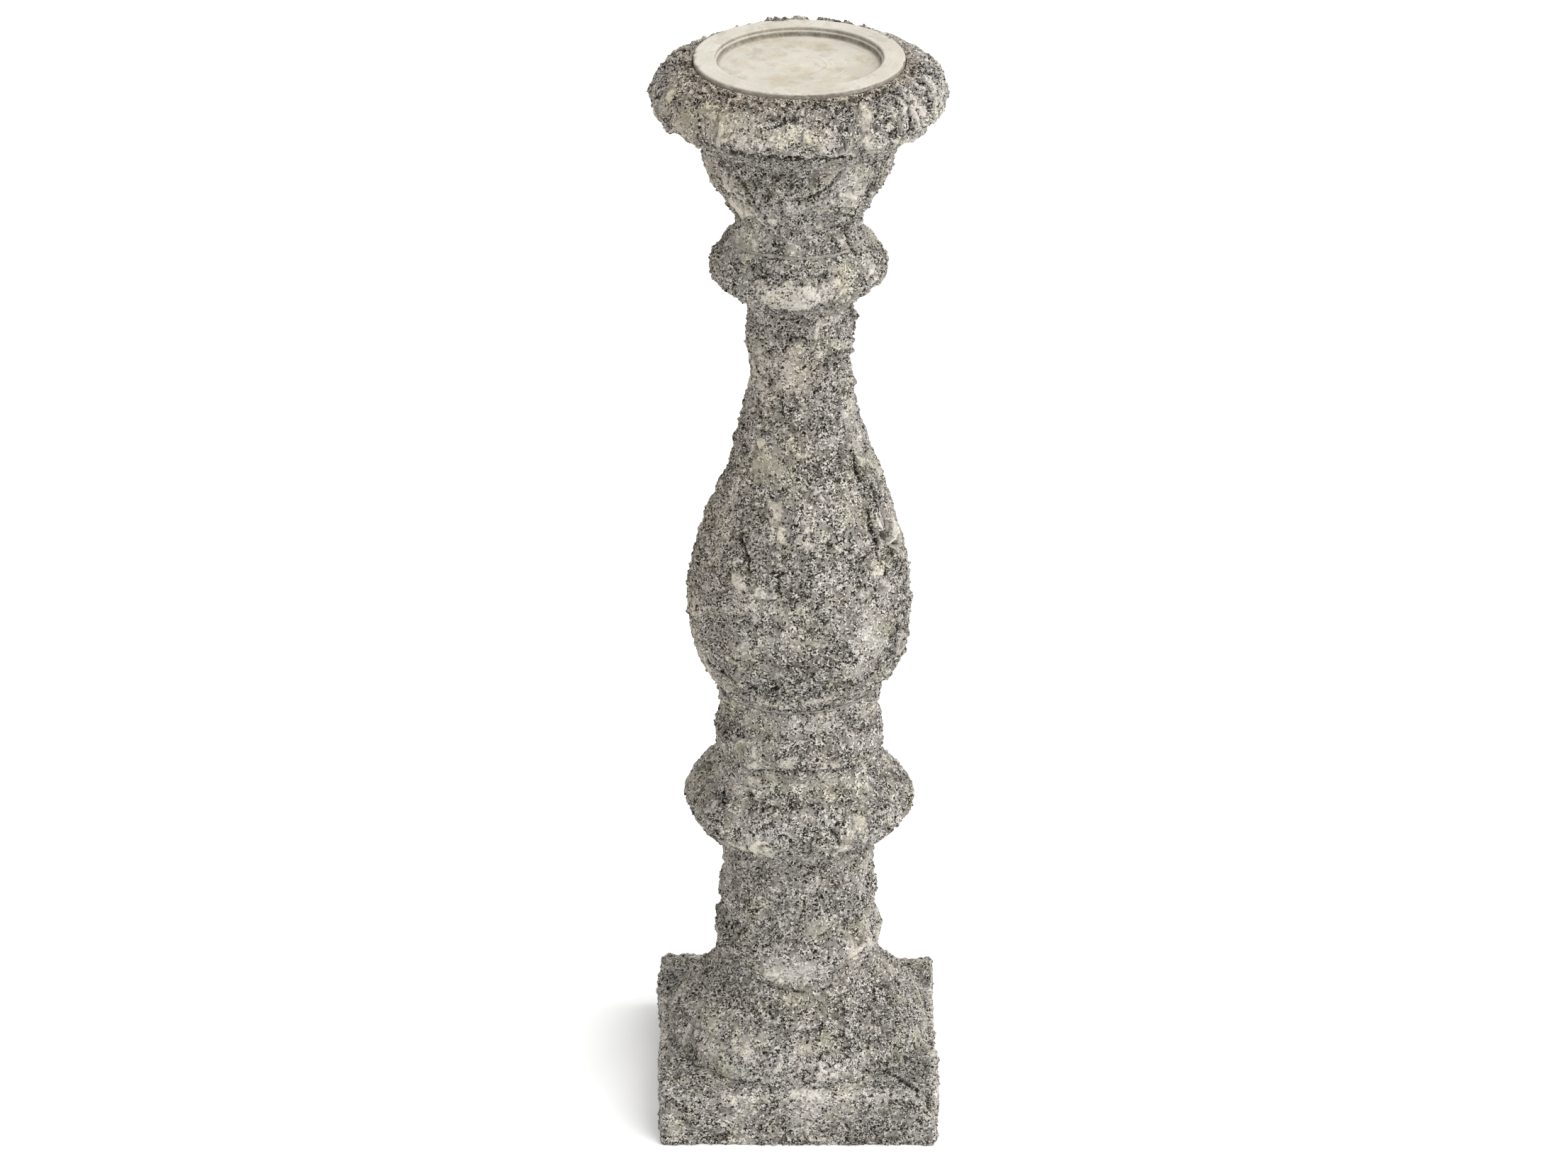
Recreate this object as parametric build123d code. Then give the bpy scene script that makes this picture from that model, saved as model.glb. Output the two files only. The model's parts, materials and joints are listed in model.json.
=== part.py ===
from build123d import *

import os

# Weathered stone baluster candle stand. A square plinth carries eight turned stones on one central tie rod,
# bedded on thin lime mortar. A pale turned dish lies loose in a rebate in the rim and takes a pillar candle.
# Millimetres, +Z up, origin at the centre of the plinth's underside, front towards -Y.

# Driving dimensions
HEIGHT = 750.0  # floor to the top of the candle dish
PLINTH_WIDTH = 190.0
PLINTH_HEIGHT = 41.25
BED = 1.5  # thickness of a mortar bed
BED_INSET = 0.8  # how far a bed's edge lies inside the stones' edges

# Heights of the mortar beds' lower faces, from the floor up
FOOT_BED = 101.25
DRUM_BED = 166.25
TORUS_BED = 257.25
ANNULET_BED = 309.25
VASE_BED = 571.25
COLLAR_BED = 629.25
CUP_BED = 697.25

# Radii of the turned stones where they meet at each bed
MOULDING_RADIUS = 84.5
FOOT_RADIUS = 54.4
DRUM_RADIUS = 49.6
TORUS_NECK_RADIUS = 53.9
ANNULET_RADIUS = 54.5
VASE_NECK_RADIUS = 33.3
COVE_RADIUS = 43.5
CUP_RADIUS = 63.6

# Candle dish and its seat in the rim
DISH_RADIUS = 67.2
DISH_THICKNESS = 20.0
RECESS_RADIUS = 52.4  # the candle's own recess
RECESS_LIP_RADIUS = 53.4  # wider step above it
RECESS_DEPTH = 6.0
LIP_DEPTH = 2.8
DISH_GAP = 0.8  # all round, between dish and rim
COLLAR_WIDTH = 3.5  # smooth raised ring round the dish
COLLAR_TOP = HEIGHT - 3.0

# Tie rod and its M12 fasteners
ROD_RADIUS = 6.0
BORE_RADIUS = 7.0  # through every stone
NUT_ACROSS_FLATS = 19.0
NUT_HEIGHT = 10.8
WASHER_RADIUS = 18.0
WASHER_THICKNESS = 2.5
THREAD_GAP = 0.05  # between a nut or washer and the rod
ROD_OVERHANG = 1.7  # rod standing past each nut
RIM_WEB = 13.0  # stone under the top nut
TOP_POCKET_RADIUS = 30.0
BASE_POCKET_RADIUS = 24.0
BASE_POCKET_DEPTH = 18.0

PLINTH_BED = PLINTH_HEIGHT
SEAT_LEVEL = HEIGHT - DISH_THICKNESS
RIM_BOTTOM = CUP_BED + BED
WEB_TOP = RIM_BOTTOM + RIM_WEB
STANDING = (Align.CENTER, Align.CENTER, Align.MIN)  # aligns a solid's foot at height 0


def revolved(edges):
    """The solid that a closed outline in (radius, height) turns into about +Z."""
    return revolve(make_face(Plane.XZ * Curve(edges)), Axis.Z)


class Outline:
    """The outside of one turned stone, drawn upwards from its lower bed as (radius, height)."""

    def __init__(self, radius, height):
        self.first = self.last = (radius, height)
        self.edges = []

    def line(self, *points):
        for point in points:
            self.edges.append(Line(self.last, point))
            self.last = point
        return self

    def arc(self, middle, end):
        self.edges.append(ThreePointArc(self.last, middle, end))
        self.last = end
        return self

    def curve(self, *points):
        self.edges.append(Spline(self.last, *points))
        self.last = points[-1]
        return self

    def turned(self):
        """The stone, bored for the tie rod and flat on both beds."""
        inner_top = (BORE_RADIUS, self.last[1])
        inner_bottom = (BORE_RADIUS, self.first[1])
        return revolved(self.line(inner_top, inner_bottom, self.first).edges)


def plinth_block():
    """Square block with worn arrises, pocketed underneath for the bottom nut."""
    block = Box(PLINTH_WIDTH, PLINTH_WIDTH, PLINTH_HEIGHT, align=STANDING)
    block = fillet(block.edges().filter_by(Axis.Z), radius=6)
    block = fillet(block.faces().sort_by(Axis.Z)[-1].edges(), radius=4)
    block = chamfer(block.faces().sort_by(Axis.Z)[0].edges(), length=1)
    pocket = Cylinder(BASE_POCKET_RADIUS, BASE_POCKET_DEPTH, align=STANDING)
    return block - pocket - Cylinder(BORE_RADIUS, PLINTH_HEIGHT, align=STANDING)


def base_moulding():
    """Wide round torus on the plinth, a quirk above it, and a flare up to the foot of the drum."""
    bottom = PLINTH_BED + BED
    torus_top = bottom + 20
    flare = [(72, torus_top + 13), (60.4, torus_top + 25.5), (55.4, torus_top + 35)]
    outline = Outline(MOULDING_RADIUS, bottom).arc((87, bottom + 9.5), (80.5, torus_top))
    outline.line((79, torus_top + 0.6), (81, torus_top + 2))
    outline.curve(*flare, (FOOT_RADIUS, FOOT_BED))
    return outline.turned()


def lower_drum():
    """Two soft rings with a groove between them."""
    outline = Outline(FOOT_RADIUS, FOOT_BED + BED)
    outline.curve((55.2, 112), (56.1, 122), (52.6, 131.5), (51, 141.5))
    outline.arc((52.9, 151), (50.2, 160.5)).line((DRUM_RADIUS, DRUM_BED))
    return outline.turned()


def large_torus():
    """Short neck, then the widest ring of the shaft, with a drip edge under it."""
    outline = Outline(DRUM_RADIUS, DRUM_BED + BED).line((50.2, 180)).curve((51.5, 191), (54, 199))
    outline.line((60, 200))
    outline.curve((67.8, 208), (76.6, 222.5), (68.4, 236), (57.6, 248), (TORUS_NECK_RADIUS, TORUS_BED))
    return outline.turned()


def annulet():
    """Round ring with a square fillet on top of it."""
    groove = 289.5
    outline = Outline(TORUS_NECK_RADIUS, TORUS_BED + BED).curve((56, 272), (51.8, groove))
    outline.line((51.2, groove + 1.5), (52.9, groove + 3.5), (ANNULET_RADIUS, ANNULET_BED))
    return outline.turned()


def vase_shaft():
    """Pear-shaped body drawn in to a slim neck with one small ring round it."""
    belly = [(60.8, 319.5), (68.2, 334), (72.6, 360), (70.4, 398)]
    neck = [(60.9, 432), (48.3, 467), (37.6, 503), (32.4, 547)]
    outline = Outline(ANNULET_RADIUS, ANNULET_BED + BED).curve(*belly, *neck)
    outline.line((33.4, 553)).arc((35.3, 560.5), (34.4, 566.5))
    outline.line((33.3, 568), (VASE_NECK_RADIUS, VASE_BED))
    return outline.turned()


def upper_collar():
    """Neck that opens under a round ring."""
    outline = Outline(VASE_NECK_RADIUS, VASE_BED + BED).curve((34.4, 583), (39.6, 592)).line((46.2, 596))
    outline.curve((53.5, 601.3), (57.5, 607.5), (54.9, 615.5), (49.3, 624))
    outline.line((45.2, COLLAR_BED))
    return outline.turned()


def cup_bowl():
    """Cove, a small fillet, and the swelling bowl that carries the rim."""
    outline = Outline(COVE_RADIUS, COLLAR_BED + BED).arc((40.8, 640), (45.8, 652))
    outline.line((47.6, 653), (47.8, 657))
    outline.curve((54.6, 667.5), (60, 680), (61.6, 690), (CUP_RADIUS, CUP_BED))
    return outline.turned()


def rim_ring():
    """Heavy rolled rim, rebated on top for the dish and pocketed for the top nut."""
    rebate = DISH_RADIUS + DISH_GAP
    collar = rebate + COLLAR_WIDTH
    outline = Outline(66.5, RIM_BOTTOM)
    outline.curve((79.2, 708), (88.5, 715.8)).line((93.6, 721.3), (93.5, 726))
    outline.curve((91.4, 732), (88.2, 737.5), (81.5, 742), (collar, 744.5))
    outline.line((collar, COLLAR_TOP), (rebate, COLLAR_TOP))
    outline.line((rebate, SEAT_LEVEL), (TOP_POCKET_RADIUS, SEAT_LEVEL), (TOP_POCKET_RADIUS, WEB_TOP))
    outline.line((BORE_RADIUS, WEB_TOP), (BORE_RADIUS, RIM_BOTTOM), outline.first)
    return revolved(outline.edges)


def candle_dish():
    """Loose pale dish with a stepped recess for the candle."""
    floor = HEIGHT - RECESS_DEPTH
    lip = HEIGHT - LIP_DEPTH
    soft = 1.2  # rounding of the top's two arrises
    outline = Outline(0, SEAT_LEVEL).line((DISH_RADIUS, SEAT_LEVEL), (DISH_RADIUS, HEIGHT - soft))
    outline.arc((DISH_RADIUS - 0.3 * soft, HEIGHT - 0.3 * soft), (DISH_RADIUS - soft, HEIGHT))
    outline.line((RECESS_LIP_RADIUS + soft, HEIGHT))
    outline.arc((RECESS_LIP_RADIUS + 0.3 * soft, HEIGHT - 0.3 * soft), (RECESS_LIP_RADIUS, HEIGHT - soft))
    outline.line((RECESS_LIP_RADIUS, lip), (RECESS_RADIUS, lip), (RECESS_RADIUS, floor))
    outline.line((0, floor), outline.first)
    return revolved(outline.edges)


def mortar_bed(stone_radius, level):
    """One thin disc of mortar round the tie rod."""
    disc = Cylinder(stone_radius - BED_INSET, BED, align=STANDING)
    return Pos(0, 0, level) * (disc - Cylinder(BORE_RADIUS, BED, align=STANDING))


def washer(level):
    """Flat washer whose lower face is at level."""
    disc = Cylinder(WASHER_RADIUS, WASHER_THICKNESS, align=STANDING)
    hole = Cylinder(ROD_RADIUS + THREAD_GAP, WASHER_THICKNESS, align=STANDING)
    return Pos(0, 0, level) * (disc - hole)


def hexagon_nut(level):
    """Nut whose lower face is at level, its corners chamfered by a turned barrel."""
    corner = NUT_ACROSS_FLATS / 3**0.5
    prism = extrude(RegularPolygon(corner, 6), NUT_HEIGHT)
    flat = NUT_ACROSS_FLATS / 2
    bevel = (corner - flat) / 2
    outline = Outline(0, 0).line((flat, 0), (corner, bevel), (corner, NUT_HEIGHT - bevel))
    barrel = revolved(outline.line((flat, NUT_HEIGHT), (0, NUT_HEIGHT), (0, 0)).edges)
    hole = Cylinder(ROD_RADIUS + THREAD_GAP, NUT_HEIGHT, align=STANDING)
    return Pos(0, 0, level) * ((prism & barrel) - hole)


def tie_rod(bottom, top):
    """Straight rod with chamfered ends."""
    rod = Cylinder(ROD_RADIUS, top - bottom, align=STANDING)
    return Pos(0, 0, bottom) * chamfer(rod.edges().filter_by(GeomType.CIRCLE), length=1)


def all_parts():
    """Every sub-part under its node name."""
    parts = {
        "plinth_block": plinth_block(),
        "base_moulding": base_moulding(),
        "lower_drum": lower_drum(),
        "large_torus": large_torus(),
        "annulet": annulet(),
        "vase_shaft": vase_shaft(),
        "upper_collar": upper_collar(),
        "cup_bowl": cup_bowl(),
        "rim_ring": rim_ring(),
        "candle_dish": candle_dish(),
    }
    beds = [
        (MOULDING_RADIUS, PLINTH_BED),
        (FOOT_RADIUS, FOOT_BED),
        (DRUM_RADIUS, DRUM_BED),
        (TORUS_NECK_RADIUS, TORUS_BED),
        (ANNULET_RADIUS, ANNULET_BED),
        (VASE_NECK_RADIUS, VASE_BED),
        (COVE_RADIUS, COLLAR_BED),
        (CUP_RADIUS, CUP_BED),
    ]
    for number, (stone_radius, level) in enumerate(beds, start=1):
        parts[f"mortar_bed_{number}"] = mortar_bed(stone_radius, level)

    bottom_washer_level = BASE_POCKET_DEPTH - WASHER_THICKNESS
    bottom_nut_level = bottom_washer_level - NUT_HEIGHT
    top_nut_level = WEB_TOP + WASHER_THICKNESS
    rod_bottom = bottom_nut_level - ROD_OVERHANG
    rod_top = top_nut_level + NUT_HEIGHT + ROD_OVERHANG
    parts["bottom_washer"] = washer(bottom_washer_level)
    parts["bottom_nut"] = hexagon_nut(bottom_nut_level)
    parts["top_washer"] = washer(WEB_TOP)
    parts["top_nut"] = hexagon_nut(top_nut_level)
    parts["tie_rod"] = tie_rod(rod_bottom, rod_top)
    return parts


os.makedirs("parts", exist_ok=True)
for name, shape in all_parts().items():
    export_step(shape, f"parts/{name}.step")
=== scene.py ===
import json
import math

import bmesh
import bpy
import numpy as np
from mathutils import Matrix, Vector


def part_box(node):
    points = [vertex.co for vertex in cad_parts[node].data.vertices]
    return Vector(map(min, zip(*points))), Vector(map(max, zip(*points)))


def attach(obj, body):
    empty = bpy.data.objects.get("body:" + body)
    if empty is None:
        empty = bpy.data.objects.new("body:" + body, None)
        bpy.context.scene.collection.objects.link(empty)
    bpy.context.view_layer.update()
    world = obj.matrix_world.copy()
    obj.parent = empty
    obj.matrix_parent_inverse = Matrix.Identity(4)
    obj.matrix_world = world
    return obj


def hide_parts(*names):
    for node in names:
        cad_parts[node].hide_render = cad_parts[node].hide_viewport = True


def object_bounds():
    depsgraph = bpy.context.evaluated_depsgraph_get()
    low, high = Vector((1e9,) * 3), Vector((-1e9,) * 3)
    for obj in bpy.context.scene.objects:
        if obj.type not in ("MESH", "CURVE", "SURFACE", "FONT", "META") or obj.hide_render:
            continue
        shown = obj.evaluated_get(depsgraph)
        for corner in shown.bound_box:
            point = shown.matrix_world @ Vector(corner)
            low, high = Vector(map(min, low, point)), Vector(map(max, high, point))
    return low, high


# The looks of a weathered stone candle stand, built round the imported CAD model. Every stone is a
# ring-shaped grid laid over its CAD node's own outline and pushed in and out by one weathering field, which
# is read in the row frame, so that the crust runs on over the joints. Lengths in the crust code are
# millimetres; in the materials they are metres.

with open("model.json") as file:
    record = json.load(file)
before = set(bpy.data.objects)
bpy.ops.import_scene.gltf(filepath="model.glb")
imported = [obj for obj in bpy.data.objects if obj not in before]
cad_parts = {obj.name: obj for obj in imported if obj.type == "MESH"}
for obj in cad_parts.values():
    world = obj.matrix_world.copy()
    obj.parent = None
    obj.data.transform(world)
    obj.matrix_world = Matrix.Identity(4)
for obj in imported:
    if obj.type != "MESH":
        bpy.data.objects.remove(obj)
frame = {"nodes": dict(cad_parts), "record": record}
cad_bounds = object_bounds()

MM = 0.001
STONES = (
    "plinth_block", "base_moulding", "lower_drum", "large_torus", "annulet",
    "vase_shaft", "upper_collar", "cup_bowl", "rim_ring",
)
STEEL = ("tie_rod", "bottom_washer", "bottom_nut", "top_washer", "top_nut")
OPEN_BEDS = (5, 7)  # the two joints whose mortar has weathered back to a crisp line
OPEN_RECESS = 0.5  # how far back it lies there
FLUSH_RECESS = 0.1  # and in the other joints
ROW_STEP = 0.9  # spacing of the crust's rows and columns
PLINTH_ROW_STEP = 0.5  # the plinth's rows fan out towards its corners
INNER_STEP = 5.0  # spacing on the bed faces and in the bore
SOFTENING = 1.3  # how far weathering rounds an outline's corners
BED_BLEND = 4.0  # how far from a bed the crust's push turns level
SEAT_BLEND = (0.4, 5)  # how far from the rim's seat the push starts and is whole
PLINTH_CORNER = 6.0  # radius of the plinth's upright edges
PLINTH_WEAR = 1.4  # how much more the plinth's faces have weathered away
SQUARE_MARGIN = 4.0  # the plinth's rows are fully square this far inside its faces
PLINTH_ARRIS = ((86, 92), (32, 38))  # where the paler upper edge, worn and with a painted highlight, fades in, outwards and upwards
BANK_RADIUS, BANK_LEVEL, BANK_PUSH = 83, 42, 4.5  # the crust banked up at the moulding's foot
COLLAR_LEVELS, COLLAR_RADII = (741, 745), (73, 77)  # where the raised ring round the dish fades in and out
REBATE_RADIUS = 68.0  # the rim's seat for the dish
DISH_STEP = 0.6
DISH_SOFTENING = 0.35
FAN_RADIUS = 2.0  # the dish's top and foot are closed by fans this wide
CRUST_SEED = 11
FRONT_AND_BACK = (0, 180)  # the unknown back repeats the front's skins, flakes, breaks and crevices
STUDIO_LIGHT = 0.76  # albedo that shows as full white on the stand's front
GREY_TINT = (4.9, 0.5, -5.4)  # how the crust's grey leans to a warm hue
# Crust tones and the grey levels that they show as
GREYS = ((0.0, 40), (0.25, 96), (0.5, 142), (0.75, 180), (1.0, 220))
# Tints that the grey is multiplied by
CREAM = (1.01, 1.02, 0.89)
REDDISH = (1.005, 0.97, 0.96)
BROWN = (0.96, 0.89, 0.79)
IVORY = (1.0, 0.99, 0.955)
DISH_STAIN = (0.93, 0.86, 0.78)

# Places on the crust: azimuth in degrees (0 is the front, + to the right), level, half-width, half-height
# and strength.
# Smooth, slightly pale skins (-: rough and pitted)
SKINS = (
    (-45, 731, 38, 12, 1.3),
    (4, 730, 22, 8, 0.8),
    (70, 725, 26, 16, -0.8),
    (38, 684, 13, 13, 1.1),
    (19, 691, 9, 7, 0.9),
    (0, 628, 42, 8, 0.7),
    (-50, 672, 9, 14, 0.6),
    (-5, 690, 18, 9, -0.9),
    (-45, 612, 12, 8, -0.7),
    (35, 618, 14, 6, 0.5),
    (-14, 548, 11, 14, 0.5),
    (35, 535, 9, 14, -0.7),
    (64, 505, 10, 17, 1.0),
    (-22, 484, 26, 24, 1.2),
    (25, 470, 14, 20, -0.5),
    (38, 450, 12, 15, 1.0),
    (-13, 447, 6, 12, 0.9),
    (-40, 440, 12, 14, -0.6),
    (15, 412, 18, 16, -0.8),
    (37, 358, 16, 22, 1.2),
    (-14, 388, 26, 12, 1.1),
    (10, 384, 14, 10, -0.7),
    (-54, 364, 10, 8, -0.9),
    (-5, 345, 30, 9, 0.4),
    (0, 300, 36, 7, 0.6),
    (30, 283, 12, 12, -0.7),
    (-40, 262, 14, 10, -0.8),
    (0, 258, 46, 6, 0.9),
    (-25, 225, 16, 12, 0.8),
    (42, 226, 14, 12, 0.7),
    (8, 232, 14, 10, -0.6),
    (-45, 160, 14, 30, -0.6),
    (3, 176, 12, 14, 0.5),
    (-10, 110, 22, 9, 0.8),
    (0, 92, 20, 6, 0.6),
    (-62, 95, 14, 12, -0.7),
)
# Crisp pale flakes
FLAKES = (
    (-14, 609, 12, 7, 1.5),
    (-2, 609, 12, 8, 1.5),
    (9, 609, 11, 7, 1.5),
    (21, 614, 8, 5, 1.4),
    (-27, 612, 8, 5, 1.2),
    (56, 616, 5, 4, 0.8),
    (26, 733, 6, 9, 1.4),
    (31, 722, 7, 5, 1.4),
    (41, 719, 6, 4, 1.2),
    (50, 738, 4, 7, 1.1),
    (58, 734, 5, 10, 1.6),
    (68, 740, 4, 6, 1.3),
    (75, 728, 5, 10, 1.6),
    (-24, 726, 6, 6, 0.9),
    (-66, 737, 5, 4, 1.1),
    (-40, 738, 4, 3, 0.8),
    (44, 684, 6, 9, 0.9),
    (30, 678, 6, 5, 0.8),
    (-50, 668, 4, 10, 0.9),
    (-44, 659, 5, 4, 1.0),
    (74, 429, 6, 5, 1.3),
    (70, 460, 4, 11, 1.3),
    (47, 408, 9, 5, 1.2),
    (38, 398, 5, 5, 1.1),
    (-16, 402, 9, 4, 1.3),
    (-35, 411, 6, 6, 1.2),
    (1, 440, 6, 5, 1.3),
    (6, 434, 4, 4, 1.2),
    (12, 470, 5, 5, 1.1),
    (-22, 447, 5, 5, 1.0),
    (-13, 446, 4, 12, 0.9),
    (20, 448, 3.5, 10, 0.9),
    (2, 492, 5, 3, 0.9),
    (68, 350, 5, 9, 1.2),
    (-12, 323, 14, 4, 1.1),
    (9, 325, 8, 5, 0.9),
    (44, 285, 5, 5, 1.2),
    (-30, 271, 4, 7, 1.3),
    (-8, 274, 7, 6, 1.2),
    (24, 270, 7, 3, 1.3),
    (-18, 302, 6, 3, 1.1),
    (30, 228, 11, 8, 1.1),
    (24, 215, 11, 4, 1.1),
    (-28, 214, 11, 5, 0.9),
    (-16, 214, 9, 5, 1.0),
    (36, 214, 8, 5, 1.0),
    (-42, 213, 5, 5, 1.1),
    (52, 218, 6, 9, 1.1),
    (-12, 148, 6, 7, 1.0),
    (-12, 112, 9, 5, 0.8),
    (8, 109, 12, 4, 0.35),
    (42, 123, 5, 9, 1.5),
    (57, 121, 5, 7, 1.5),
    (-8, 54, 18, 6, 1.15),
    (12, 53, 10, 6, 1.1),
    (-27, 60, 9, 6, 1.0),
)
# Paler (-: darker) places, among them some painted light and painted shade
TONES = (
    (-65, 400, 44, 70, 0.5),
    (60, 400, 40, 60, -0.25),
    (-55, 545, 28, 40, 0.9),
    (70, 545, 18, 40, 0.4),
    # Painted light: the cup lifted out of the shade that the rim casts on it
    (0, 672, 60, 18, 0.5),
    (4, 655, 60, 26, 0.4),
    (-20, 727, 30, 12, 0.5),
    (-40, 606, 16, 10, 0.5),
    (65, 668, 24, 24, 0.5),
    (-4, 609, 26, 8, 0.9),
    (-8, 135, 22, 32, 0.5),
    (-12, 56, 34, 10, 1.7),
    (-26, 78, 22, 18, 0.4),
    (28, 80, 22, 18, -0.35),
    (0, 20, 24, 20, 0.6),
    (42, 20, 20, 20, 0.5),
    (25, 734, 14, 12, -0.4),
    (62, 734, 20, 14, 0.3),
    (-70, 225, 30, 20, -0.35),
    (0, 294, 50, 5, 0.4),
    (0, 258, 46, 5, 0.3),
    (37, 358, 16, 18, 0.5),
    # Painted shadow under the drum's lip
    (-14, 98, 28, 4, -0.5),
    (-10, 109, 26, 6, 1.0),
    # Painted shade along the annulet's lower edge at the left
    (-52, 262, 14, 6, -0.6),
    (-8, 244, 30, 2.5, -0.7),
    (-33, 732, 6, 10, -0.8),
    (14, 738, 12, 6, -0.6),
    (30, 724, 4, 8, -0.5),
    (60, 712, 18, 10, 1.0),
    (-70, 718, 12, 8, 0.8),
    # Painted shadow just under the rim's front
    (-4, 692, 15, 8, -0.7),
    (38, 684, 13, 12, 0.4),
    # Painted shade in the middle of the cup, under the rim
    (0, 676, 12, 6, -0.5),
    (-8, 651, 8, 6, 0.7),
    (20, 637, 9, 6, -0.6),
    # Painted shadow under the collar's lower edge, front right and front left
    (24, 596, 14, 8, -0.8),
    (-24, 597, 10, 8, -0.8),
    (-50, 535, 12, 16, 0.7),
    (14, 530, 9, 8, 0.7),
    (40, 535, 9, 6, -0.6),
    (5, 505, 9, 12, -0.7),
    (28, 490, 14, 8, -0.9),
    (-10, 465, 9, 9, -1.0),
    (-30, 426, 14, 8, 0.8),
    (27, 390, 5, 22, -1.0),
    (-26, 384, 10, 10, 1.0),
    (-6, 355, 16, 9, -1.0),
    (14, 355, 6, 10, -0.8),
    (21, 350, 6, 14, -0.8),
    (-38, 292, 16, 8, -0.7),
    (-8, 296, 12, 6, -0.7),
    (24, 283, 20, 8, -0.7),
    (60, 240, 20, 6, -1.1),
    (22, 251, 12, 3, -1.0),
    (-18, 222, 15, 9, 1.5),
    (38, 221, 12, 9, 1.6),
    (8, 208, 20, 8, 0.8),
    (43, 170, 8, 10, -0.9),
    (-12, 158, 8, 12, 1.1),
    (36, 153, 8, 7, 0.8),
    (-40, 155, 14, 10, -0.7),
    (5, 148, 10, 6, -0.8),
    (24, 132, 11, 8, -1.3),
    (60, 119, 8, 8, 0.9),
    (10, 115, 12, 6, 0.8),
    (-4, 86, 12, 5, -0.7),
    (66, 78, 16, 10, -0.8),
    (-36, 72, 10, 8, -0.8),
)
# Gentle swellings (-: hollows), whose strength is the outward push
SWELLS = (
    (-125, 36, 45, 26, 3.2),
    (125, 36, 45, 26, -0.4),
    (48, 18, 22, 24, -1.2),
    (85, 470, 60, 70, 2.4),
    (-90, 470, 60, 70, -2.2),
    (88, 571, 8, 5, 4.2),
    (86, 548, 3.5, 2.2, 4.2),
    (86, 527, 5, 4, 4.0),
    (-46, 658, 5, 4, 2.2),
    (-52, 664, 4, 4, 1.8),
    (-35, 411, 7, 7, 1.6),
    (0, 719, 34, 3, 1.5),
    (180, 744, 60, 6, 2.2),
    (150, 745, 14, 5, 1.6),
    (66, 735, 22, 14, -0.8),
    (70, 440, 12, 30, 1.6),
    (-85, 715, 9, 6, 2.0),
    (-72, 716, 6, 5, 2.2),
    (62, 714, 6, 4, 1.2),
    (84, 712, 14, 8, -1.6),
    (80, 690, 30, 12, -1.2),
)
# Places broken into flat faces
BREAKS = (
    (66, 730, 30, 18, 0.6),
    (40, 722, 12, 9, 0.5),
    (-78, 716, 16, 10, 0.8),
    (0, 712, 40, 6, 0.6),
    (42, 650, 12, 16, 0.8),
    (-46, 660, 10, 10, 0.7),
    (78, 612, 16, 16, 0.8),
    (86, 548, 8, 34, 0.9),
    (62, 474, 8, 24, 0.9),
    (64, 432, 12, 26, 1.0),
    (64, 352, 10, 18, 0.9),
    (44, 412, 14, 10, 0.7),
    (-40, 428, 12, 22, 0.6),
    (36, 222, 14, 14, 0.8),
    (52, 128, 12, 16, 0.7),
    (180, 744, 70, 10, 0.8),
    (62, 41, 30, 8, 0.6),
)
# Brown staining, and a warmer, browner tint over the whole left side
TANS = (
    (-50, 731, 42, 12, 0.6),
    (4, 730, 22, 8, 0.4),
    (-40, 744, 60, 4, 0.7),
    (-60, 420, 50, 80, 0.3),
    (-80, 375, 45, 500, 0.45),
    (-10, 545, 22, 30, 0.4),
    (-60, 690, 50, 40, 0.2),
)
# Crevices, darkened with painted shade: half-width, depth, then the (azimuth, level) places that each line
# runs through
CREVICES = (
    (5.5, 4.2, ((-30, 714), (-12, 716), (16, 715))),
    (1.7, 5.5, ((51, 743), (50, 736), (48, 726))),
    (2.0, 5.0, ((72, 743), (66, 736), (63, 727))),
    (1.8, 3.4, ((100, 747), (88, 744), (83, 740))),
    (1.4, 2.4, ((38, 740), (36, 731), (38, 724))),
    (1.2, 1.6, ((17, 740), (15, 731), (18, 724))),
    (2.2, 6.0, ((54, 686), (52, 674), (52, 659), (44, 654), (48, 644), (50, 634), (51, 627))),
    (1.7, 3.0, ((27, 700), (24, 690), (15, 682), (-2, 674))),
    (1.6, 3.0, ((-48, 690), (-36, 679), (-31, 663), (-19, 650))),
    (1.4, 2.0, ((-32, 618), (-12, 620), (6, 620), (20, 622))),
    (1.2, 1.4, ((-28, 525), (-20, 520), (-15, 514))),
    (2.1, 6.0, ((54, 488), (53, 474), (56, 461))),
    (1.8, 5.0, ((62, 461), (60, 451), (62, 443))),
    (2.0, 5.4, ((51, 447), (50, 437), (53, 425))),
    (2.2, 5.0, ((70, 463), (71, 457))),
    (2.0, 5.0, ((82, 463), (83, 455))),
    (1.8, 3.2, ((58, 428), (64, 422), (74, 418))),
    (2.1, 5.0, ((63, 364), (59, 351), (55, 342))),
    (1.7, 3.4, ((-58, 340), (-40, 336), (-28, 333), (-10, 334))),
    (1.8, 2.8, ((60, 346), (46, 337), (34, 332), (16, 330))),
    (1.3, 2.2, ((-57, 320), (-34, 315), (-10, 313), (6, 313), (34, 312), (60, 311))),
    (1.6, 2.4, ((-44, 446), (-40, 436), (-30, 420))),
    (1.6, 2.4, ((32, 428), (38, 416), (34, 404))),
    (1.5, 2.4, ((14, 404), (10, 392), (14, 384))),
    (1.3, 1.8, ((-34, 246), (-22, 243), (-8, 242), (12, 243))),
    (1.5, 1.5, ((-80, 262), (-58, 262), (-34, 264), (-8, 266), (20, 266), (46, 263))),
    (1.3, 2.0, ((16, 232), (19, 226), (21, 222))),
    (1.5, 0.9, ((-26, 101), (-10, 98), (10, 97), (28, 99))),
)
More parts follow.
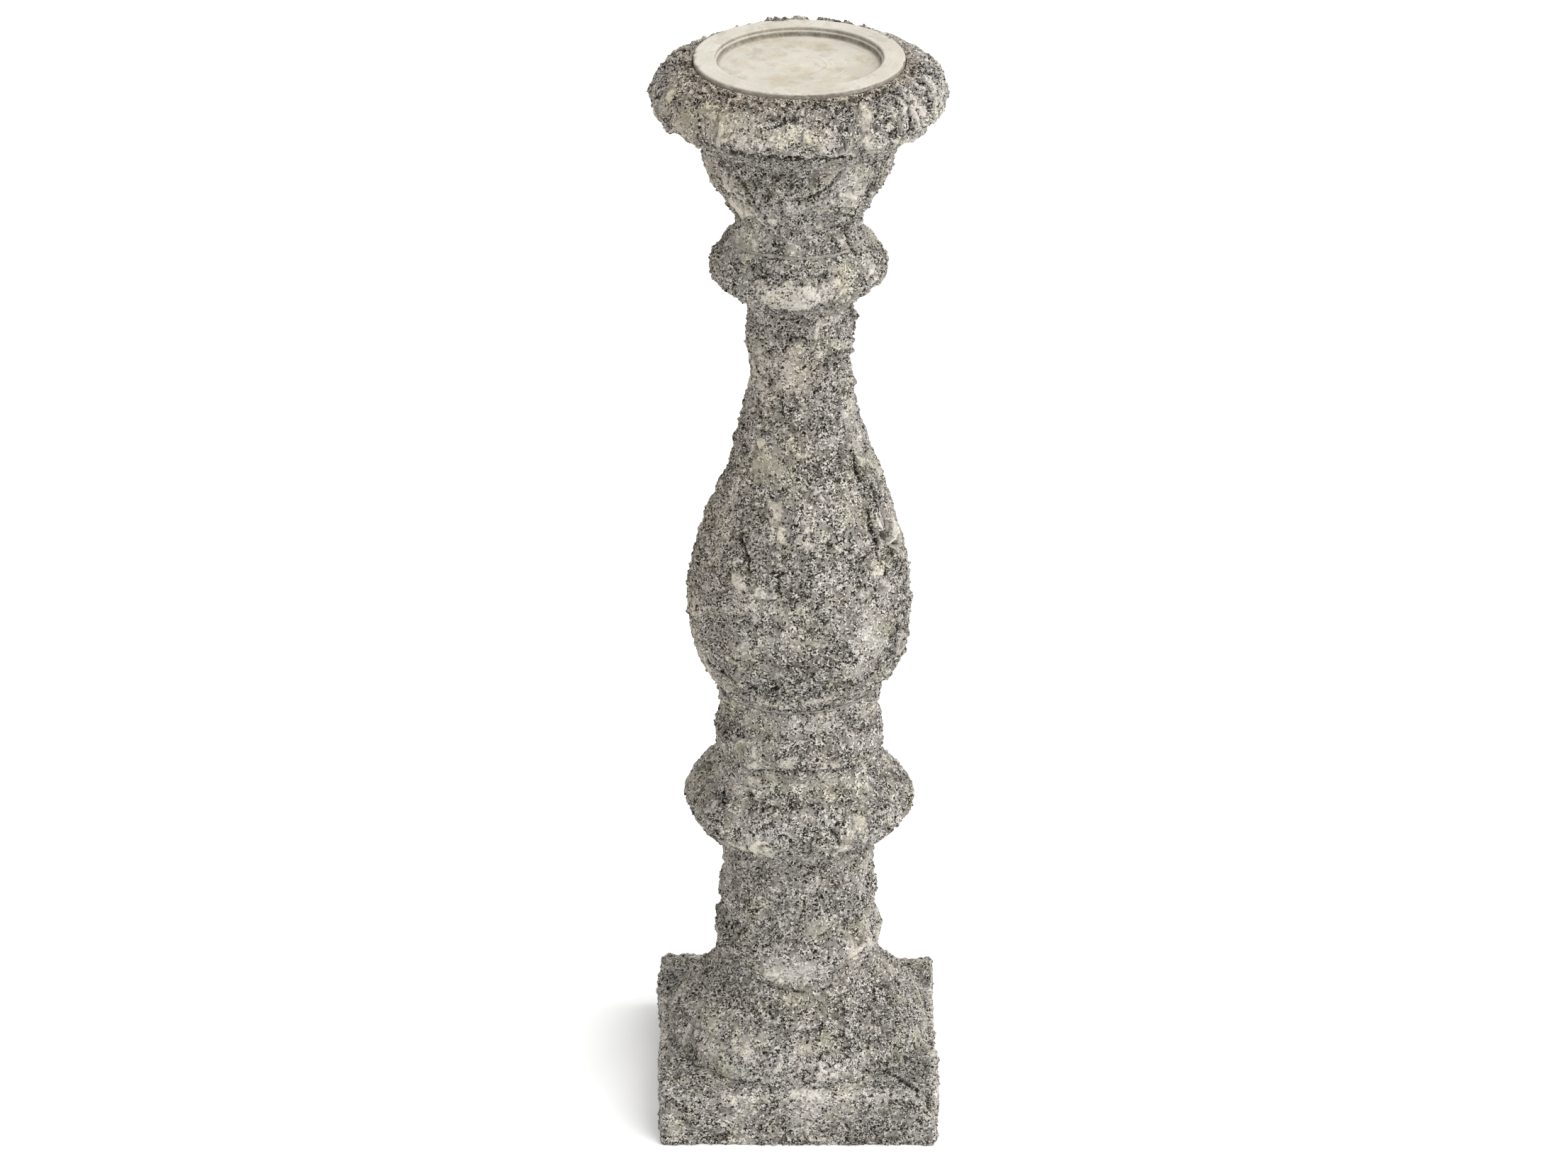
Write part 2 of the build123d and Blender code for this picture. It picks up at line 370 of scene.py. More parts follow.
# Crisp raised faces of fresh breaks: half-width, outward push, then the places that each strip runs through
STRIPS = (
    (2.6, 1.6, ((56, 742), (54, 735), (52, 726))),
    (2.4, 1.6, ((77, 741), (71, 733), (67, 724))),
    (1.5, 1.0, ((30, 721), (40, 721), (52, 718))),
    (1.2, 1.0, ((56, 440), (58, 431))),
    (1.3, 0.9, ((86, 466), (81, 457))),
    (1.4, 1.2, ((79, 427), (71, 425), (64, 422))),
    (1.5, 0.9, ((58, 482), (59, 474))),
    (1.6, 0.9, ((42, 411), (50, 407))),
    (1.2, 0.7, ((-24, 401), (-12, 402))),
    (1.1, 0.7, ((-20, 322), (-6, 321))),
    (1.5, 0.9, ((-16, 719), (2, 719), (20, 720))),
    (1.4, 0.7, ((-52, 680), (-41, 666), (-30, 654), (-22, 646))),
)
# The crack over the plinth's front right corner, as (x, y), its depth and the levels where it fades in
CRACK = ((56, -62), (66, -71), (76, -84), (86, -92), (98, -99))
CRACK_DEPTH = 3.6
CRACK_LEVELS = (20, 32)
LINE_REACH = 9  # no crevice reaches this far from its line


# Noise

def lattice(cells, seed):
    """A repeatable number from -1 to 1 for each whole-numbered cell."""
    c = cells.astype(np.int64).astype(np.uint32)
    h = c[:, 0] * np.uint32(374761393) + c[:, 1] * np.uint32(668265263) + c[:, 2] * np.uint32(2246822519)
    h = h + np.uint32(seed * 7919 + 17)
    h = (h ^ (h >> np.uint32(15))) * np.uint32(2246822519)
    h = (h ^ (h >> np.uint32(13))) * np.uint32(3266489917)
    h = h ^ (h >> np.uint32(16))
    return h.astype(np.float64) / 2147483647.5 - 1.0


def turned_axes(seed):
    """A rotation that keeps one layer of noise out of line with the next."""
    a, b = 0.7 + seed * 1.3, 0.4 + seed * 2.1
    about_z = np.array([[math.cos(a), -math.sin(a), 0], [math.sin(a), math.cos(a), 0], [0, 0, 1]])
    about_x = np.array([[1, 0, 0], [0, math.cos(b), -math.sin(b)], [0, math.sin(b), math.cos(b)]])
    return about_z @ about_x


def noise(points, size, seed):
    """Smooth noise from about -1 to 1 whose lumps are about size across."""
    p = (points @ turned_axes(seed).T) / size + 1000.0
    cell = np.floor(p)
    t = p - cell
    t = t * t * t * (t * (t * 6 - 15) + 10)
    total = np.zeros(len(p))
    for corner in range(8):
        offset = np.array([corner & 1, corner >> 1 & 1, corner >> 2 & 1])
        weight = np.prod(np.where(offset, t, 1 - t), axis=1)
        total += weight * lattice(cell + offset, seed)
    return total * 1.4


def crust_noise(points, size, layer):
    """The crust's own noise; each layer has a number of its own."""
    return noise(points, size, CRUST_SEED + layer)


def cells_round(points, size):
    """The points in units of the cells' size, with each of the 27 cells round them in turn."""
    p = points / size + 1000.0
    for k in range(27):
        yield p, np.floor(p) + np.array([k % 3 - 1, k // 3 % 3 - 1, k // 9 - 1])


def nearest_seed(points, size, seed):
    """Distance to the nearest of one random point per cell, in cells, and that point's random number."""
    best = np.full(len(points), 9.0)
    mark = np.zeros(len(points))
    for p, near in cells_round(points, size):
        shift = [0.5 + 0.45 * lattice(near, seed + axis) for axis in range(3)]
        away = near + np.stack(shift, axis=1) - p
        distance = np.sqrt((away * away).sum(axis=1))
        closer = distance < best
        best = np.where(closer, distance, best)
        mark = np.where(closer, lattice(near, seed + 5), mark)
    return best, mark


def broken_faces(points, size, seed):
    """Flat tilted faces about size across: height, each one's random number, and 1 along edges."""
    best = np.full(len(points), 9.0)
    second = best.copy()
    face = np.zeros(len(points))
    mark = face.copy()
    for p, near in cells_round(points, size):
        random = [lattice(near, seed + axis) for axis in range(7)]
        away = near + 0.5 + 0.45 * np.stack(random[:3], axis=1) - p
        distance = np.sqrt((away * away).sum(axis=1))
        tilted = (away * np.stack(random[3:6], axis=1)).sum(axis=1) + 0.4 * random[6]
        closer = distance < best
        second = np.where(closer, best, np.minimum(second, distance))
        best = np.where(closer, distance, best)
        face = np.where(closer, tilted, face)
        mark = np.where(closer, random[6], mark)
    return face, mark, 1 - ramp(second - best, 0.02, 0.16)


def ramp(x, low, high):
    """0 below low, 1 above high, smooth between."""
    t = np.clip((x - low) / (high - low), 0.0, 1.0)
    return t * t * (3 - 2 * t)


# Weathering

def places(points):
    """Each point's azimuth in degrees (0 is the front, 90 the right), radius and height."""
    azimuth = np.degrees(np.arctan2(points[:, 0], -points[:, 1]))
    return azimuth, np.hypot(points[:, 0], points[:, 1]), points[:, 2]


def offsets(where, azimuth, level):
    """How far each point lies to the right of a place and above it, measured on the surface."""
    turn = (where[0] - azimuth + 180) % 360 - 180
    return np.radians(turn) * where[1], where[2] - level


def patch(where, azimuth, level, width, height):
    """1 at a place, falling smoothly to 0 over its half-width and half-height."""
    across, above = offsets(where, azimuth, level)
    return np.exp(-((across / width) ** 2) - (above / height) ** 2)


def groove(where, path, width):
    """1 along a line of (azimuth, level) places, falling to 0 at its half-width."""
    nearest = np.full(len(where[0]), 99.0)
    for (start, low), (end, high) in zip(path[:-1], path[1:]):
        across, above = offsets(where, start, low)
        run = np.radians(end - start) * where[1]
        rise = high - low
        along = np.clip((across * run + above * rise) / (run * run + rise * rise), 0, 1)
        nearest = np.minimum(nearest, np.hypot(across - along * run, above - along * rise))
    return 1 - ramp(nearest, 0.25 * width, width)


def summed_patches(where, marks, turns=(0,)):
    """The sum of a list's patches, at each turn about Z."""
    total = np.zeros(len(where[0]))
    low, high = where[2].min(), where[2].max()
    for azimuth, level, width, height, strength in marks:
        if low - 3 * height < level < high + 3 * height:
            for turn in turns:
                total += strength * patch(where, azimuth + turn, level, width, height)
    return total


def summed_grooves(where, marks):
    """All the (half-width, depth, line of places) grooves; the deepest counts where they cross."""
    total = np.zeros(len(where[0]))
    low, high = where[2].min(), where[2].max()
    for width, depth, path in marks:
        levels = [level for _, level in path]
        if low - LINE_REACH < max(levels) and min(levels) < high + LINE_REACH:
            for turn in FRONT_AND_BACK:
                turned = [(azimuth + turn, level) for azimuth, level in path]
                total = np.maximum(total, depth * groove(where, turned, width))
    return total


def strip_mask(where, path, width):
    """1 within a half-width of a line of places, with a crisp edge."""
    return ramp(groove(where, path, width), 0.25, 0.45)


def base_fillet(where):
    """The crust banked up where the moulding stands on the plinth."""
    _, radius, level = where
    return BANK_PUSH * np.exp(-(((radius - BANK_RADIUS) / 6) ** 2) - ((level - BANK_LEVEL) / 5) ** 2)


def plinth_arris(points):
    """1 along the plinth's upper edge, which the colour makes paler: wear, and a painted highlight."""
    across = np.maximum(np.abs(points[:, 0]), np.abs(points[:, 1]))
    return ramp(across, *PLINTH_ARRIS[0]) * ramp(points[:, 2], *PLINTH_ARRIS[1])


def corner_crack(points, bent):
    """1 along the crack over the plinth's front right corner."""
    if points[:, 2].min() > CRACK_LEVELS[1]:
        return np.zeros(len(points))
    nearest = np.full(len(points), 99.0)
    for start, end in zip(CRACK[:-1], CRACK[1:]):
        run = np.subtract(end, start)
        along = np.clip((bent[:, :2] - start) @ run / (run @ run), 0, 1)
        nearest = np.minimum(nearest, np.hypot(*(bent[:, :2] - start - along[:, None] * run).T))
    return (1 - ramp(nearest, 0.5, 2.0)) * ramp(points[:, 2], *CRACK_LEVELS)


def bent_points(points):
    """The points shifted about by noise, so that placed marks get ragged edges."""
    return points + 2.4 * np.stack([crust_noise(points, 10, k) for k in (20, 21, 22)], axis=1)


def crevice_depth(points, bent, where):
    """Depth of the crevices and of the plinth's crack, which the colour darkens with painted shade."""
    grooves = summed_grooves(where, CREVICES) * (0.75 + 0.5 * crust_noise(points, 9, 30))
    return grooves + CRACK_DEPTH * corner_crack(points, 0.6 * points + 0.4 * bent)


def skin_mask(bent, where, grooves):
    """1 on the smooth skins and 0 on the open crust."""
    field = 0.6 * crust_noise(bent, 26, 5) + 0.5 * crust_noise(bent, 12, 6) + 0.3 * crust_noise(bent, 5, 7)
    return ramp(field + summed_patches(where, SKINS, FRONT_AND_BACK) - 0.4 * grooves, 0.15, 0.95)


def rough_mask(points, bent, skin, grooves):
    """How rough the crust is, from 0 to 1."""
    bare = 0.5 * crust_noise(points, 30, 8) + 0.5 * crust_noise(bent, 12, 9) + 0.25 * crust_noise(bent, 6, 12)
    return ramp(bare - 0.9 * skin + 0.15 * grooves, -0.95, 0.45)


def crumb_field(bent, breaks, face_mark, chip_mark):
    """The field whose highest places come away as flakes."""
    crumbs = 0.5 * crust_noise(bent, 8, 10) + 0.45 * crust_noise(bent, 4, 11)
    return crumbs + 0.3 * chip_mark + 0.9 * breaks * np.maximum(face_mark - 0.2, 0)


def scattered_grains(points, bent):
    """Relief of the crust's knobs, its pits and its scattered round nodules."""
    near, mark = nearest_seed(bent, 4.6, CRUST_SEED + 40)
    knobs = (0.55 - near) * (1.0 + 0.5 * mark)
    near, mark = nearest_seed(points, 3.8, CRUST_SEED + 60)
    pits = (1 - ramp(near, 0.1, 0.42)) * (mark > 0.0)
    near, mark = nearest_seed(bent, 8.5, CRUST_SEED + 80)
    nodules = np.sqrt(np.clip(1 - (near / 0.42) ** 2, 0, 1)) * (mark > 0.45)
    return knobs, pits, nodules


def raised_strips(where):
    """How far the strips of fresh break stand out, and 1 on them."""
    push = np.zeros(len(where[0]))
    fresh = push.copy()
    for width, out, path in STRIPS:
        strip = strip_mask(where, path, width)
        push += out * strip
        fresh = np.maximum(fresh, strip)
    return push, fresh


def colour_marks(points, where, fresh):
    """The brown staining and tints and the paler or darker places, some of them painted light and shade, as
    masks for the colour.
    """
    collar = ramp(where[2], *COLLAR_LEVELS) * (1 - ramp(where[1], *COLLAR_RADII))
    tan = np.clip(summed_patches(where, TANS) + 0.8 * collar, 0, 1)
    # The tone holds the placed paler and darker places, some of them painted light and shade, the pale fresh
    # breaks, and the plinth's paler upper edge, which is wear and a painted highlight.
    tone = np.clip(summed_patches(where, TONES), -1.2, 1.2) + 1.3 * fresh + 0.8 * plinth_arris(points)
    return tan, tone


def weathering(points):
    """How far the crust stands out at each point, and the masks that its colour follows."""
    bent = bent_points(points)
    where = places(0.4 * points + 0.6 * bent)
    grooves = crevice_depth(points, bent, where)
    breaks = np.clip(summed_patches(where, BREAKS, FRONT_AND_BACK), 0, 1.3)
    face, face_mark, face_edge = broken_faces(bent * (1, 1, 0.5), 9.0, CRUST_SEED + 100)
    chip, chip_mark, chip_edge = broken_faces(bent, 4.2, CRUST_SEED + 120)
    skin = skin_mask(bent, where, grooves)
    rough = rough_mask(points, bent, skin, grooves)
    crumbs = crumb_field(bent, breaks, face_mark, chip_mark)
    flake = ramp(crumbs + summed_patches(where, FLAKES, FRONT_AND_BACK) - 0.4 * grooves, 0.7, 0.8)
    knobs, pits, nodules = scattered_grains(points, bent)
    strips, fresh = raised_strips(where)

    fine = crust_noise(points, 2.6, 4)
    open_crust = (1 - 0.75 * skin) * (0.5 + 0.7 * rough) * (1 - 0.8 * flake)
    height = 0.9 * crust_noise(points, 46, 0) + 0.8 * crust_noise(points, 24, 1)
    height += 0.7 * crust_noise(points, 12, 2) + 0.15 * fine
    height += open_crust * (1.1 * knobs - 1.5 * pits + 0.55 * fine + 1.2 * chip)
    height += 0.4 * skin + 1.5 * flake + 1.2 * nodules * (1 - 0.6 * skin)
    height += 2.6 * breaks * (face - 0.3 * face_edge) + strips
    height += summed_patches(where, SWELLS) + base_fillet(where) - grooves

    flake = np.maximum(flake, 0.7 * fresh)
    flake_edge = 4 * flake * (1 - flake) * (crumbs > -0.2)
    # The cavity mask is painted shade and light: darker in the pits, crevices and crack, under the flakes'
    # edges and along the edges of broken faces and chips, paler on the knobs' tops.
    cavity_shade = open_crust * (0.6 * pits - 0.5 * knobs - 0.25 * fine) + 0.55 * grooves + 0.8 * flake_edge
    cavity_shade += 0.9 * breaks * face_edge + 0.25 * open_crust * chip_edge
    cavity_shade = np.clip(cavity_shade, -0.5, 1.6) * (1 - 0.7 * fresh)
    tan, tone = colour_marks(points, where, fresh)
    return height, {"cavity_shade": cavity_shade, "skin": skin, "flake": flake, "rough": rough, "tan": tan, "tone": tone}


# Meshes

def cad_mesh(node):
    """The node's CAD mesh in millimetres, with its seams closed."""
    bm = bmesh.new()
    bm.from_mesh(frame["nodes"][node].data)
    bmesh.ops.scale(bm, vec=(1 / MM, 1 / MM, 1 / MM), verts=bm.verts)
    bmesh.ops.remove_doubles(bm, verts=bm.verts, dist=0.001)
    return bm


def linked(pairs):
    """The neighbours of each point, from pairs of joined points."""
    follow = {}
    for a, b in pairs:
        if a != b:
            follow.setdefault(a, set()).add(b)
            follow.setdefault(b, set()).add(a)
    return follow


def section_loop(node):
    """The outline that the half plane y = 0, x > 0 cuts from the node, as rows of (radius, height)."""
    bm = cad_mesh(node)
    parts = bm.verts[:] + bm.edges[:] + bm.faces[:]
    cut = bmesh.ops.bisect_plane(bm, geom=parts, dist=0.0005, plane_co=(0, 0, 0), plane_no=(0, 1, 0))
    edges = [part for part in cut["geom_cut"] if isinstance(part, bmesh.types.BMEdge)]
    right = [edge for edge in edges if min(v.co.x for v in edge.verts) > 0]
    follow = linked([(round(v.co.x, 4), round(v.co.z, 4)) for v in edge.verts] for edge in right)
    bm.free()
    start = min(follow, key=lambda p: (round(p[1], 2), -p[0]))
    path = [start, max(follow[start], key=lambda p: p[1])]
    while path[-1] != start:
        path.append(next(p for p in follow[path[-1]] if p != path[-2]))
    return np.array(path[:-1])


def distances(path):
    """Distance along the path from its first point to each point."""
    return np.concatenate([[0], np.cumsum(np.hypot(*np.diff(path, axis=0).T))])


def spaced(path, step):
    """The path with points about step apart, its two ends kept."""
    length = distances(path)
    count = max(1, round(length[-1] / step))
    at = np.linspace(0, length[-1], count + 1)
    return np.stack([np.interp(at, length, path[:, k]) for k in (0, 1)], axis=1)


def spaced_runs(path, step):
    """Like spaced, but it keeps every corner of the path."""
    runs = [spaced(path[i : i + 2], step)[:-1] for i in range(len(path) - 1)]
    return np.concatenate(runs + [path[-1:]])


def softened(path, step, spread):
    """The path with its corners rounded, its two ends kept."""
    reach = max(1, int(3 * spread / step))
    kernel = np.exp(-0.5 * (np.arange(-reach, reach + 1) * step / spread) ** 2)
    kernel /= kernel.sum()
    out = path.copy()
    for k in (0, 1):
        before = 2 * path[0, k] - path[reach:0:-1, k]
        after = 2 * path[-1, k] - path[-2 : -reach - 2 : -1, k]
        out[:, k] = np.convolve(np.concatenate([before, path[:, k], after]), kernel, mode="valid")
    out[0], out[-1] = path[0], path[-1]
    return out


def split_loop(loop, top_radius=None):
    """Cuts the loop into the weathered outside and the rest, both as open paths."""
    top = loop[:, 1].max()
    on_top = np.where(np.abs(loop[:, 1] - top) < 0.01)[0]
    outer_end = max(on_top, key=lambda i: loop[i, 0])
    if top_radius is None:
        return loop[: outer_end + 1], np.concatenate([loop[outer_end:], loop[:1]])
    corner = np.array([[top_radius, top]])
    outside = np.concatenate([loop[: outer_end + 1], corner])
    return outside, np.concatenate([corner, loop[outer_end + 1 :], loop[:1]])


def grid_mesh(name, rings):
    """A closed mesh over an array of points indexed by row and column, both wrapping round."""
    rows, columns, _ = rings.shape
    index = np.arange(rows * columns).reshape(rows, columns)
    right = np.roll(index, -1, axis=1)
    up = np.roll(index, -1, axis=0)
    faces = np.stack([index, right, np.roll(right, -1, axis=0), up], axis=-1).reshape(-1, 4)
    mesh = bpy.data.meshes.new(name)
    mesh.vertices.add(rows * columns)
    mesh.vertices.foreach_set("co", (rings.reshape(-1, 3) * MM).astype(np.float32).ravel())
    mesh.loops.add(faces.size)
    mesh.loops.foreach_set("vertex_index", faces.astype(np.int32).ravel())
    mesh.polygons.add(len(faces))
    mesh.polygons.foreach_set("loop_start", np.arange(0, faces.size, 4, dtype=np.int32))
    mesh.update(calc_edges=True)
    mesh.validate()
    mesh.shade_smooth()
    return mesh


def add_attribute(mesh, name, values):
    """Stores one number per vertex for the materials to read."""
    mesh.attributes.new(name, "FLOAT", "POINT").data.foreach_set("value", values.astype(np.float32).ravel())


def crust_mesh(name, points, masks):
    """A closed mesh over a grid, with the weathering's masks stored on it."""
    mesh = grid_mesh(name, points)
    for mask, values in masks.items():
        add_attribute(mesh, mask, values)
    return mesh


def add_piece(name, mesh, material, node):
    """Puts a mesh in the scene in place of a CAD node, on that node's body."""
    piece = bpy.data.objects.new(name, mesh)
    bpy.context.collection.objects.link(piece)
    mesh.materials.append(material)
    body = next(b for b, nodes in frame["record"]["behaviour"]["bodies"].items() if node in nodes)
    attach(piece, body)
    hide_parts(node)


# Stones

def path_normals(path):
    """Unit normals of an outline that runs upwards with the stone on its left."""
    along = np.gradient(path, axis=0)
    normal = np.stack([along[:, 1], -along[:, 0]], axis=1)
    return normal / np.maximum(np.hypot(*normal.T), 1e-9)[:, None]


def square_reach(half, angles):
    """Distance from the middle of the plinth's rounded square to its edge, at each angle."""
    folded = np.abs((angles + math.pi / 4) % (math.pi / 2) - math.pi / 4)
    centre = (half - PLINTH_CORNER) * math.sqrt(2)
    off = math.pi / 4 - folded
    rounded = centre * np.cos(off) + np.sqrt(np.maximum(PLINTH_CORNER**2 - (centre * np.sin(off)) ** 2, 0))
    return np.where(half * np.tan(folded) <= half - PLINTH_CORNER, half / np.cos(folded), rounded)


def even_angles(half, count):
    """Angles whose points lie evenly spaced round the plinth."""
    fine = np.linspace(0, 2 * math.pi, 7201)
    length = distances(square_reach(half, fine)[:, None] * np.stack([np.cos(fine), np.sin(fine)], axis=1))
    return np.interp(np.linspace(0, length[-1], count, endpoint=False), length, fine)


def half_width(node):
    """Half the width of a CAD node, in millimetres, which is a turned node's radius."""
    low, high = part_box(node)
    return (high[0] - low[0]) / 2 / MM


def ring_angles(radius):
    """Angles whose points lie about one column apart on a circle."""
    return np.linspace(0, 2 * math.pi, int(2 * math.pi * radius / ROW_STEP), endpoint=False)


def ring_points(path, radius, angles):
    """Points of a grid whose rows have the path's heights and the given radii, one or more to a row."""
    x, y = radius * np.cos(angles), radius * np.sin(angles)
    return np.stack([x, y, np.broadcast_to(path[:, 1:], x.shape)], axis=-1)


def pushed(points, angles, sideways, upwards):
    """The grid with each point moved outwards from the axis and up."""
    out = points.copy()
    out[:, :, 0] += sideways * np.cos(angles)
    out[:, :, 1] += sideways * np.sin(angles)
    out[:, :, 2] += upwards
    return out


def stone_outline(node):
    """The outside of a stone as an even, softened path, and the rest of its section."""
    square = node == "plinth_block"
    step = PLINTH_ROW_STEP if square else ROW_STEP
    top_radius = {"plinth_block": half_width("mortar_bed_1"), "rim_ring": REBATE_RADIUS}.get(node)
    outside, inside = split_loop(section_loop(node), top_radius)
    return softened(spaced(outside, step), step, SOFTENING), spaced_runs(inside, INNER_STEP)[1:-1]


def push_directions(node, outside):
    """How much of the crust's height goes outwards and upwards, row by row; it stays level at a bed."""
    outwards, upwards = path_normals(outside).T
    from_bottom = distances(outside)
    to_top = from_bottom[-1] - from_bottom
    rim = node == "rim_ring"
    near_bed = 1 - ramp(from_bottom if rim else np.minimum(from_bottom, to_top), 0, BED_BLEND)
    held = ramp(to_top, *SEAT_BLEND) if rim else 1
    if node != "plinth_block":
        outwards = outwards + near_bed * (1 - outwards)
    return outwards * held, upwards * (1 - near_bed) * held


def plinth_points(path, half):
    """The plinth's grid, round at its bore and bed and square at its faces, and its angles."""
    angles = even_angles(half, int(8 * half / ROW_STEP))
    bed = half_width("mortar_bed_1")
    share = np.clip((path[:, 0] - bed) / (half - SQUARE_MARGIN - bed), 0, 1)
    radius = path[:, :1] + share[:, None] * (square_reach(half, angles) - half)
    return ring_points(path, radius, angles), angles


def stone_mesh(node):
    """One stone's weathered mesh: its outside from the CAD outline, its beds and bore left true."""
    outside, inside = stone_outline(node)
    path = np.concatenate([outside, inside])
    half = outside[:, 0].max()
    if node == "plinth_block":
        points, angles = plinth_points(path, half)
        wear = PLINTH_WEAR
    else:
        angles = ring_angles(half)
        points = ring_points(path, path[:, :1], angles)
        wear = 0

    height, masks = weathering(points.reshape(-1, 3))
    height = height.reshape(points.shape[:2]) - wear
    sideways, upwards = push_directions(node, outside)
    still = np.zeros(len(inside))
    sideways = np.concatenate([sideways, still])
    upwards = np.concatenate([upwards, still])
    points = pushed(points, angles, height * sideways[:, None], height * upwards[:, None])
    return crust_mesh(node + "_crust", points, masks)


def bed_mesh(number, below, above):
    """A ring of mortar between two stones, flush with their crusts or weathered back."""
    bed = f"mortar_bed_{number}"
    recess = OPEN_RECESS if number in OPEN_BEDS else FLUSH_RECESS
    lower = stone_outline(below)[0][-1]
    upper = stone_outline(above)[0][0]
    bore = section_loop(bed)[:, 0].min()
    corners = np.array([lower, upper, [bore, upper[1]], [bore, lower[1]], lower])
    face = spaced_runs(corners[:2], 0.5)
    path = np.concatenate([face, spaced_runs(corners[1:], INNER_STEP)[1:-1]])
    angles = ring_angles(half_width(bed))
    points = ring_points(path, path[:, :1], angles)
    height, masks = weathering(points.reshape(-1, 3))
    height = height.reshape(points.shape[:2]) - recess
    height[len(face) :] = 0
    return crust_mesh(bed + "_pointing", pushed(points, angles, height, 0), masks)


# Dish

def solid_outline(node):
    """The outline of a turned solid without a bore, from its foot's middle round to its top's middle."""
    bm = cad_mesh(node)
    key = {v: (round(math.hypot(v.co.x, v.co.y), 2), round(v.co.z, 2)) for v in bm.verts}
    follow = linked([key[v] for v in edge.verts] for edge in bm.edges)
    bm.free()
    path = [min(follow, key=lambda p: p[1])]
    while True:
        ahead = follow[path[-1]] - set(path)
        if not ahead:
            break
        path.append(min(ahead, key=lambda p: math.dist(p, path[-1])))
    return np.array([(0, path[0][1]), *path, (0, path[-1][1])])


def capped_mesh(name, rings, low, high):
    """A mesh over open rows of rings, closed by a fan to one point at each end."""
    rows, columns, _ = rings.shape
    index = np.arange(rows * columns).reshape(rows, columns)
    right = np.roll(index, -1, axis=1)
    quads = np.stack([index[:-1], right[:-1], right[1:], index[1:]], axis=-1).reshape(-1, 4)
    ends = [(int(right[0, k]), int(index[0, k]), rows * columns) for k in range(columns)]
    ends += [(int(index[-1, k]), int(right[-1, k]), rows * columns + 1) for k in range(columns)]
    mesh = bpy.data.meshes.new(name)
    points = np.concatenate([rings.reshape(-1, 3), [low, high]]) * MM
    mesh.from_pydata(points.tolist(), [], quads.tolist() + ends)
    mesh.validate()
    mesh.shade_smooth()
    return mesh


def dish_soil_and_shade(path, flat, normal, chips):
    """Where the dish is darkened, by soil and painted shade on its walls, painted shade in the recess's
    corner and soil in its chips, and where the recess's floor is, as masks.
    """
    mount = next(m for m in frame["record"]["mounts"] if m["name"] == "candle_recess")
    recess = mount["dims"]["r_mm"]
    away = np.hypot(flat[:, 0], flat[:, 1])
    wall = np.repeat(1 - np.abs(normal[:, 1]), len(flat) // len(path))
    inside = away < half_width("candle_dish") - 6
    floor = ramp(path[:, 1].max() - flat[:, 2], 3.0, 5.0) * inside
    corner = floor * ramp(away, recess - 3, recess - 0.4)
    # Soil and painted shade: the walls are darkened by both, the recess's corner by painted shade, the chips
    # by soil.
    soil_and_shade = 0.75 * wall * inside + 0.9 * wall * ~inside + 0.7 * corner + 0.2 * chips
    return {"soil_and_shade": np.clip(soil_and_shade, 0, 1), "floor": floor}


def dish_mesh():
    """The dish with softened arrises, a faint hand-turned unevenness and worn places, soiled and painted with
    shade.
    """
    outline = solid_outline("candle_dish")
    path = softened(spaced_runs(outline, DISH_STEP), DISH_STEP, DISH_SOFTENING)[1:-1]
    path = path[path[:, 0] > FAN_RADIUS]
    angles = ring_angles(path[:, 0].max())
    points = ring_points(path, path[:, :1], angles)
    flat = points.reshape(-1, 3)
    normal = path_normals(path)
    above_top = path[:, 1] - path[:, 1].max()
    arris = np.exp(-(((path[:, 0] - half_width("candle_dish")) / 1.5) ** 2) - (above_top / 2) ** 2)
    chips = ramp(noise(flat, 7, 301) + 0.5 * noise(flat, 2.5, 302), 0.5, 0.9)
    uneven = 0.1 * noise(flat, 14, 303) + 0.05 * noise(flat, 4, 304)
    height = (uneven - 0.9 * chips * np.repeat(arris, len(angles))).reshape(points.shape[:2])
    moved = pushed(points, angles, height * normal[:, :1], height * normal[:, 1:])
    mesh = capped_mesh("candle_dish_turned", moved, (0, 0, path[0, 1]), (0, 0, path[-1, 1]))
    for name, values in dish_soil_and_shade(path, flat, normal, chips).items():
        add_attribute(mesh, name, np.concatenate([values, [0.0, 0.0]]))
    return mesh


# Materials

